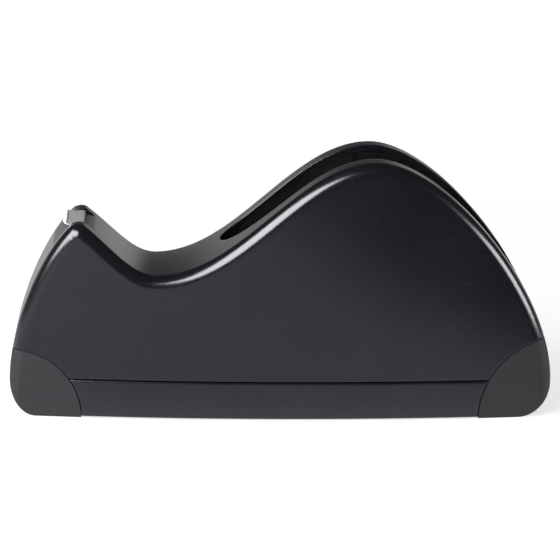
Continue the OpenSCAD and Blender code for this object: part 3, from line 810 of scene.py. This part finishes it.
def bladeTree():
    tree, given, size = startTree("toothedBlade", "Side View", blade, "Blade")
    path = addNode(tree, "GeometryNodeFilletCurve", {"mode": "POLY"}, {
        "Curve": given.outputs["Side View"], "Radius": given.outputs["Bend"], "Count": 6})
    section = addNode(tree, "GeometryNodeCurvePrimitiveQuadrilateral", None, {
        "Width": given.outputs["Width"], "Height": given.outputs["Thickness"]})
    strip = addNode(tree, "GeometryNodeCurveToMesh", None, {
        "Curve": path.outputs[0], "Profile Curve": section.outputs[0], "Fill Caps": True})

    # one tooth: a slim pyramid of unit size, scaled and leaning along the lip
    spike = addNode(tree, "GeometryNodeMeshCone", None, {
        "Vertices": 4, "Radius Top": given.outputs["Tooth Tip"],
        "Radius Bottom": math.sqrt(0.5), "Depth": 1.0})
    square = addNode(tree, "GeometryNodeTransform", None, {
        "Geometry": spike.outputs["Mesh"], "Rotation": (0, 0, math.pi / 4)})
    shape = addNode(tree, "ShaderNodeCombineXYZ", None, {
        "X": given.outputs["Thickness"], "Y": given.outputs["Pitch"], "Z": given.outputs["Tooth Height"]})
    lean = addNode(tree, "ShaderNodeCombineXYZ", None, {"Y": (size["Lip Angle"] - math.pi / 2).socket})
    tooth = addNode(tree, "GeometryNodeTransform", None, {
        "Geometry": square.outputs[0], "Scale": shape.outputs[0], "Rotation": lean.outputs[0]})
    root = addNode(tree, "GeometryNodeSampleCurve", {"mode": "FACTOR"}, {
        "Curves": given.outputs["Side View"], "Factor": 0.0})
    side = addNode(tree, "ShaderNodeCombineXYZ", None, {
        "Y": ((size["Teeth"] - 1) * size["Pitch"] * -0.5).socket})
    first = addNode(tree, "ShaderNodeVectorMath", {"operation": "ADD"}, {
        0: root.outputs["Position"], 1: side.outputs[0]})
    pitch = addNode(tree, "ShaderNodeCombineXYZ", None, {"Y": given.outputs["Pitch"]})
    row = addNode(tree, "GeometryNodeMeshLine", None, {
        "Count": given.outputs["Teeth"], "Start Location": first.outputs[0], "Offset": pitch.outputs[0]})
    teeth = addNode(tree, "GeometryNodeInstanceOnPoints", None, {
        "Points": row.outputs[0], "Instance": tooth.outputs[0]})

    both = addNode(tree, "GeometryNodeJoinGeometry")
    tree.links.new(strip.outputs[0], both.inputs[0])
    tree.links.new(teeth.outputs[0], both.inputs[0])
    return endTree(tree, given, both.outputs[0])


def lineCurve(name, points):
    data = bpy.data.curves.new(name, "CURVE")
    data.dimensions = "3D"
    spline = data.splines.new("POLY")
    spline.points.add(len(points) - 1)
    for point, place in zip(spline.points, points):
        point.co = (*place, 1)
    return addPiece(name, data)


def makeBlade():
    lip, half = blade["Lip Angle"], blade["Thickness"] / 2
    level = plate["top"] - half
    along = Vector((-math.cos(lip), 0, math.sin(lip)))
    bend = Vector((plate["front"], 0, level))
    rear = plate["rear"] + half
    root = bend + (plate["lipReach"] - blade["Tooth Height"]) * along
    side = [root, bend, (rear, 0, level), (rear, 0, plate["top"] - plate["drop"])]
    values = {**blade, "Finish": finishes["blade_steel"]}
    return runTree(bladeTree(), lineCurve("bladeSide", side), values, "blade")


def makeBladeSeat():
    # the part of the whole form that fills the notch under the plate
    half = notch["width"] / 2 - plate["seatGap"]
    low = body["noseHeight"] - notch["depth"] + plate["seatLift"]
    top = plate["top"] - blade["Thickness"]
    cuts = [("INTERSECT", block(noseX - notch["front"], plate["rear"], -half, half, low, top))]
    for x, y in holderPlaces:
        cuts.append(("DIFFERENCE", post(x, y, holderScrews["threadRadius"], *holderScrews["thread"])))
    return carve(formMesh.copy(), "bladeSeat", cuts)


finishPiece("toothedBlade", makeBlade(), "blade_steel", "housing", "blade")
finishPiece("bladeSeat", makeBladeSeat(), "well_plastic", "housing", "blade_holder")
print("blade and its seat made")

# Screws: cross recessed, with a rounded head and a helical thread, set on their places

largeScrew = {
    "Head Radius": 2.8 * mm, "Head Height": 1.7 * mm, "Core Radius": 1.2 * mm,
    "Thread Radius": 1.5 * mm, "Thread Pitch": 1.1 * mm, "Recess Depth": 0.9 * mm,
}
smallScrew = {
    "Head Radius": 2.2 * mm, "Head Height": 1.4 * mm, "Core Radius": 0.85 * mm,
    "Thread Radius": 1.1 * mm, "Thread Pitch": 0.8 * mm, "Recess Depth": 0.7 * mm,
}
screwShape = {
    "roundFrom": 0.35,     # share of the head's height at which its rounding starts
    "roundPull": -0.8,
    "recess": (1.1, 0.28),  # length and width of each arm, in head radii
    "point": 1.2,          # length of the point, in core radii
    "pointTip": 0.15 * mm,
    "headSink": 0.02 * mm,
    "pointSink": 0.03 * mm,
    "flank": 0.95,         # of the ridge's height
    "threadStart": 0.6,    # in pitches from the head
}


def screwTree():
    sizes = {**largeScrew, "Length": 0.0, "Turn": (0, 0, 0)}
    tree, given, size = startTree("crossScrews", "Places", sizes, "Screws")

    # head, rounded towards its outer face
    drum = addNode(tree, "GeometryNodeMeshCylinder", None, {
        "Vertices": 40, "Side Segments": 6, "Fill Segments": 1,
        "Radius": given.outputs["Head Radius"], "Depth": given.outputs["Head Height"]})
    place = addNode(tree, "GeometryNodeInputPosition")
    at = addNode(tree, "ShaderNodeSeparateXYZ", None, {0: place.outputs[0]})
    x, y, z = (Field(tree, at.outputs[axis]) for axis in "XYZ")
    drop = z / size["Head Height"] * -1 + 0.5
    pull = (drop - screwShape["roundFrom"]).math("MAXIMUM", 0).math("POWER", 2) * screwShape["roundPull"] + 1
    shaped = addNode(tree, "ShaderNodeCombineXYZ", None, {
        "X": (x * pull).socket, "Y": (y * pull).socket, "Z": (z - size["Head Height"] * 0.5).socket})
    head = addNode(tree, "GeometryNodeSetPosition", None, {
        "Geometry": drum.outputs["Mesh"], "Position": shaped.outputs[0]})

    # cross recess
    arm, slim = (size["Head Radius"] * share for share in screwShape["recess"])
    middle = addNode(tree, "ShaderNodeCombineXYZ", None, {"Z": (size["Head Height"] * -1).socket})
    cut = head.outputs[0]
    for a, b in ((arm, slim), (slim, arm)):
        extent = addNode(tree, "ShaderNodeCombineXYZ", None, {
            "X": a.socket, "Y": b.socket, "Z": (size["Recess Depth"] * 2).socket})
        bar = addNode(tree, "GeometryNodeMeshCube", None, {"Size": extent.outputs[0]})
        sunk = addNode(tree, "GeometryNodeTransform", None, {
            "Geometry": bar.outputs["Mesh"], "Translation": middle.outputs[0]})
        step = addNode(tree, "GeometryNodeMeshBoolean", {"operation": "DIFFERENCE", "solver": "EXACT"}, {
            "Mesh 1": cut, "Mesh 2": sunk.outputs[0]})
        cut = step.outputs["Mesh"]

    # core with a pointed end, and the thread wound round it
    coreRadius, pitch = size["Core Radius"], size["Thread Pitch"]
    pointLength = coreRadius * screwShape["point"]
    straight = size["Length"] - pointLength
    core = addNode(tree, "GeometryNodeMeshCylinder", None, {
        "Vertices": 24, "Radius": coreRadius.socket, "Depth": straight.socket})
    point = addNode(tree, "GeometryNodeMeshCone", None, {
        "Vertices": 24, "Radius Top": screwShape["pointTip"], "Radius Bottom": coreRadius.socket,
        "Depth": pointLength.socket})
    wind = addNode(tree, "GeometryNodeCurveSpiral", None, {
        "Resolution": 20, "Rotations": ((straight - pitch) / pitch).socket,
        "Start Radius": coreRadius.socket, "End Radius": coreRadius.socket,
        "Height": (straight - pitch).socket})
    ridge = size["Thread Radius"] - coreRadius
    flank = addNode(tree, "GeometryNodeCurvePrimitiveCircle", {"mode": "RADIUS"}, {
        "Resolution": 3, "Radius": (ridge * screwShape["flank"]).socket})
    thread = addNode(tree, "GeometryNodeCurveToMesh", None, {
        "Curve": wind.outputs[0], "Profile Curve": flank.outputs[0], "Fill Caps": True})

    whole = addNode(tree, "GeometryNodeJoinGeometry")
    tree.links.new(cut, whole.inputs[0])
    for part, up in (
            (core, straight * 0.5 - screwShape["headSink"]), (point, straight - screwShape["pointSink"]),
            (thread, pitch * screwShape["threadStart"])):
        offset = addNode(tree, "ShaderNodeCombineXYZ", None, {"Z": up.socket})
        raised = addNode(tree, "GeometryNodeTransform", None, {
            "Geometry": part.outputs[0], "Translation": offset.outputs[0]})
        tree.links.new(raised.outputs[0], whole.inputs[0])
    row = addNode(tree, "GeometryNodeInstanceOnPoints", None, {
        "Points": given.outputs["Places"], "Instance": whole.outputs[0], "Rotation": given.outputs["Turn"]})
    return endTree(tree, given, row.outputs[0])


screws = screwTree()
ballastScrews = {"along": (-66.7 * mm, -42.7 * mm), "head": 20.9 * mm, "length": 12 * mm}
drawerScrews = {
    "along": (-59.7 * mm, 0, 59.7 * mm),
    "height": 9 * mm,
    "headIn": 5.05 * mm,
    "length": 3.5 * mm,
}


def setScrews(name, kind, screw, places, bodyName="housing", turn=(0, 0, 0)):
    # kind is the joint that the screws make, screw the size they come in
    mesh = bpy.data.meshes.new("places")
    mesh.from_pydata(places, [], [])
    values = {**screw, "Length": kind["length"], "Turn": turn, "Finish": finishes["screw_steel"]}
    made = runTree(screws, addPiece("places", mesh), values, name + "ScrewSet")
    finishPiece(name + "ScrewSet", made, "screw_steel", bodyName, name + "_screws", 40)


for name, kind, screw, places in (
        ("case", caseScrews, largeScrew, casePlaces),
        ("ballast", ballastScrews, largeScrew, [(x, 0) for x in ballastScrews["along"]]),
        ("foot", footScrews, largeScrew, footPlaces),
        ("holder", holderScrews, smallScrew, holderPlaces)):
    setScrews(name, kind, screw, [(x, y, kind["head"]) for x, y in places])
headsAt = [(x, drawerScrews["headIn"] - halfWidth(x), drawerScrews["height"]) for x in drawerScrews["along"]]
setScrews("drawer", drawerScrews, smallScrew, headsAt, "drawer", (math.pi / 2, 0, 0))
print("screws set")

# The remaining solids keep their shape and take their finish

for part in frame["record"]["subparts"]:
    node = frame["nodes"][part["node"]]
    if not node.hide_render:
        dress(node, part["material_slot"])

# Stage: pale floor, soft boxes left and right, quiet surroundings

stage = {
    "floorSize": 6.0,
    "floorColours": ("#d2d2d2", "#e2e2e2"),
    # white sheet as the camera, gloss and glass see it: at the object, and far off
    "floorGlow": (0.64, 0.97),
    "glowReach": (0.25, 1.2),    # distances from the middle where that starts and ends its change
    "paintedCoolReflection": (1.0, 0.98, 1.12, 1),  # painted reflection: the sheet tinted cool for gloss alone
    # painted shade in the floor's reflection: the next entries set where and how far gloss meets a dark glow
    # in place of the white sheet
    "frontKeep": 0.68,           # how much of the white gloss still meets in front of the object
    "frontFade": (-0.02, -0.08),
    "shade": (0.05, 0.19),       # painted shade: where the floor, as gloss sees it, darkens, to the right in front
    "shadeLow": 0.03,
    "shadeSlant": (-0.2, 0.45),  # that line turns about this y, by this much x for each y
    "behindKeep": 0.1,           # how much gloss meets far behind the object
    "behindFade": (0.2, 0.36),
    "surround": "#6e6e70",
    "quietGloss": 0.05,          # surroundings overhead and in front, as gloss sees them
    "backGlow": 0.5,             # white backdrop, brightest at the horizon
    "backTurn": (0.2, 0.7),      # cosines from straight behind between which it comes up
    "glowFade": (0.1, 0.19),     # sines of the elevations between which it falls away
    "boxColour": (0.95, 0.97, 1.0),  # faintly cool daylight
    "boxAim": (0, 0, 0.06),
    "gleamAhead": 0.02,          # share of its distance by which the gleam lamp stands nearer
    "leftBox": {"place": (-0.93, -0.70, 0.755), "size": (1.3, 0.85), "light": 17, "gleam": 62},
    "rightBox": {"place": (1.17, -0.38, 0.28), "size": (0.62, 0.42), "light": 5, "gleam": 12},
}
# painted reflection: a glowing card behind the object, which gloss alone meets
paintedReflectionCard = {"left": -0.3, "right": 0.3, "y": 0.115, "top": 0.092, "soft": 0.008, "glow": 0.7}


def seenRays(tree):
    # camera rays, and the gloss and glass rays that are to see the same background
    path = addNode(tree, "ShaderNodeLightPath")
    camera, gloss, glass = (
        Field(tree, path.outputs[f"Is {ray} Ray"]) for ray in ("Camera", "Glossy", "Transmission"))
    return camera, gloss.math("MAXIMUM", glass)


def fade(tree, field, start, end, low=0.0, high=1.0):
    # smooth step from low to high
    node = addNode(tree, "ShaderNodeMapRange", {"interpolation_type": "SMOOTHSTEP"}, {
        "Value": field.socket, "From Min": start, "From Max": end, "To Min": low, "To Max": high})
    return Field(tree, node.outputs[0])


def makeFloor():
    work = bmesh.new()
    bmesh.ops.create_grid(work, x_segments=2, y_segments=2, size=stage["floorSize"])
    floor = addPiece("floor", meshFrom(work, "floor"))
    material, tree, shader, spot = newFinish("paleFloor")
    cloud = addNode(tree, "ShaderNodeTexNoise", None, {"Vector": spot, "Scale": 2, "Detail": 1})
    low, high = (linearColour(code) for code in stage["floorColours"])
    tint = addNode(tree, "ShaderNodeMix", {"data_type": "RGBA"}, {
        "Factor": cloud.outputs["Fac"], "A": low, "B": high})
    setSockets(tree, shader, {"Base Color": tint.outputs["Result"], "Roughness": 0.9})

    camera, gloss = seenRays(tree)
    place = addNode(tree, "ShaderNodeSeparateXYZ", None, {0: spot})
    x, y = Field(tree, place.outputs["X"]), Field(tree, place.outputs["Y"])
    far = (x * x + y * y).math("SQRT")
    near, distant = stage["floorGlow"]
    # painted shade in the floor's reflection: gloss meets less of the white sheet in front, to the right and
    # far behind, so the sides stay dark
    pivot, slant = stage["shadeSlant"]
    across = x - (y - pivot) * slant
    shade = fade(tree, across, *stage["shade"], stage["frontKeep"], stage["shadeLow"])
    keep = (shade - 1) * fade(tree, y, *stage["frontFade"]) + 1
    keep = keep * fade(tree, y, *stage["behindFade"], 1, stage["behindKeep"])
    glow = (camera + gloss) * fade(tree, far, *stage["glowReach"], near, distant)
    # painted reflection: gloss sees the white sheet with a cool tint
    cool = addNode(tree, "ShaderNodeMix", {"data_type": "RGBA"}, {
        "Factor": gloss.socket, "A": (1, 1, 1, 1), "B": stage["paintedCoolReflection"]})
    white = addNode(tree, "ShaderNodeEmission", None, {
        "Color": cool.outputs["Result"], "Strength": glow.socket})
    lit = addNode(tree, "ShaderNodeAddShader", None, {0: shader.outputs[0], 1: white.outputs[0]})
    # painted shade: a dark glow that gloss meets in place of the white sheet
    dark = addNode(tree, "ShaderNodeEmission", None, {"Strength": stage["quietGloss"]})
    seen = addNode(tree, "ShaderNodeMixShader", None, {
        0: (gloss * ((keep * -1) + 1)).socket, 1: lit.outputs[0], 2: dark.outputs[0]})
    output = next(n for n in tree.nodes if n.type == "OUTPUT_MATERIAL")
    tree.links.new(seen.outputs[0], output.inputs["Surface"])
    floor.data.materials.append(material)


def makeWorld():
    world = bpy.data.worlds.new("surround")
    world.use_nodes = True
    tree = world.node_tree
    tree.nodes.clear()
    camera, gloss = seenRays(tree)
    outwards = addNode(tree, "ShaderNodeTexCoord").outputs["Generated"]
    way = addNode(tree, "ShaderNodeSeparateXYZ", None, {0: outwards})
    y, z = Field(tree, way.outputs["Y"]), Field(tree, way.outputs["Z"])
    glow = fade(tree, y, *stage["backTurn"]) * fade(tree, z, *stage["glowFade"], 1, 0)
    strength = glow * (stage["backGlow"] - stage["quietGloss"]) + stage["quietGloss"]
    quiet = addNode(tree, "ShaderNodeBackground", None, {"Color": linearColour(stage["surround"])})
    backdrop, white = [addNode(tree, "ShaderNodeBackground", None, {
        "Color": (1, 1, 1, 1), "Strength": value}) for value in (strength.socket, 1.0)]
    mirrored = addNode(tree, "ShaderNodeMixShader", None, {
        0: gloss.socket, 1: quiet.outputs[0], 2: backdrop.outputs[0]})
    seen = addNode(tree, "ShaderNodeMixShader", None, {
        0: camera.socket, 1: mirrored.outputs[0], 2: white.outputs[0]})
    addNode(tree, "ShaderNodeOutputWorld", None, {"Surface": seen.outputs[0]})
    bpy.context.scene.world = world


def makePaintedReflectionCard():
    # painted reflection: a low glowing white card close behind, no lamp, met by gloss alone, that lifts the
    # far half of the finger dip
    left, right, top = paintedReflectionCard["left"], paintedReflectionCard["right"], paintedReflectionCard["top"]
    corners = [(x, paintedReflectionCard["y"], z) for x, z in ((left, 0), (right, 0), (right, top), (left, top))]
    mesh = bpy.data.meshes.new("paintedReflectionCard")
    mesh.from_pydata(corners, [], [(0, 1, 2, 3)])
    piece = addPiece("paintedReflectionCard", mesh)
    material = bpy.data.materials.new("paintedReflectionGlow")
    material.use_nodes = True
    tree = material.node_tree
    tree.nodes.clear()
    spot = addNode(tree, "ShaderNodeTexCoord").outputs["Object"]
    place = addNode(tree, "ShaderNodeSeparateXYZ", None, {0: spot})
    clear = fade(tree, Field(tree, place.outputs["Z"]), top - paintedReflectionCard["soft"], top)
    # painted reflection: the card's glow
    white = addNode(tree, "ShaderNodeEmission", None, {"Strength": paintedReflectionCard["glow"]})
    through = addNode(tree, "ShaderNodeBsdfTransparent")
    mixed = addNode(tree, "ShaderNodeMixShader", None, {
        0: clear.socket, 1: white.outputs[0], 2: through.outputs[0]})
    addNode(tree, "ShaderNodeOutputMaterial", None, {"Surface": mixed.outputs[0]})
    mesh.materials.append(material)
    for ray in ("camera", "diffuse", "transmission", "volume_scatter", "shadow"):
        setattr(piece, "visible_" + ray, False)


def softBox(name, place, size, light, gleam):
    # one lamp lights the colours at a plain level; a second, met by gloss alone, is the box that
    # plastic mirrors, and stands a little nearer because two lamps in one plane share their gloss
    aim = Vector(stage["boxAim"]) - Vector(place)
    turned = aim.to_track_quat("-Z", "Y").to_matrix().to_4x4()
    for use, power, hidden, ahead in (
            ("Light", light, "visible_glossy", 0), ("Gleam", gleam, "visible_diffuse", stage["gleamAhead"])):
        data = bpy.data.lights.new(name + use, "AREA")
        data.shape, data.size, data.size_y, data.energy = "RECTANGLE", *size, power
        data.color = stage["boxColour"]
        lamp = addPiece(name + use, data)
        setattr(lamp, hidden, False)
        lamp.matrix_world = Matrix.Translation(Vector(place) + ahead * aim) @ turned


makeFloor()
makeWorld()
makePaintedReflectionCard()
softBox("leftBox", **stage["leftBox"])
softBox("rightBox", **stage["rightBox"])
bpy.context.scene.view_settings.view_transform = "Standard"
print("stage set")
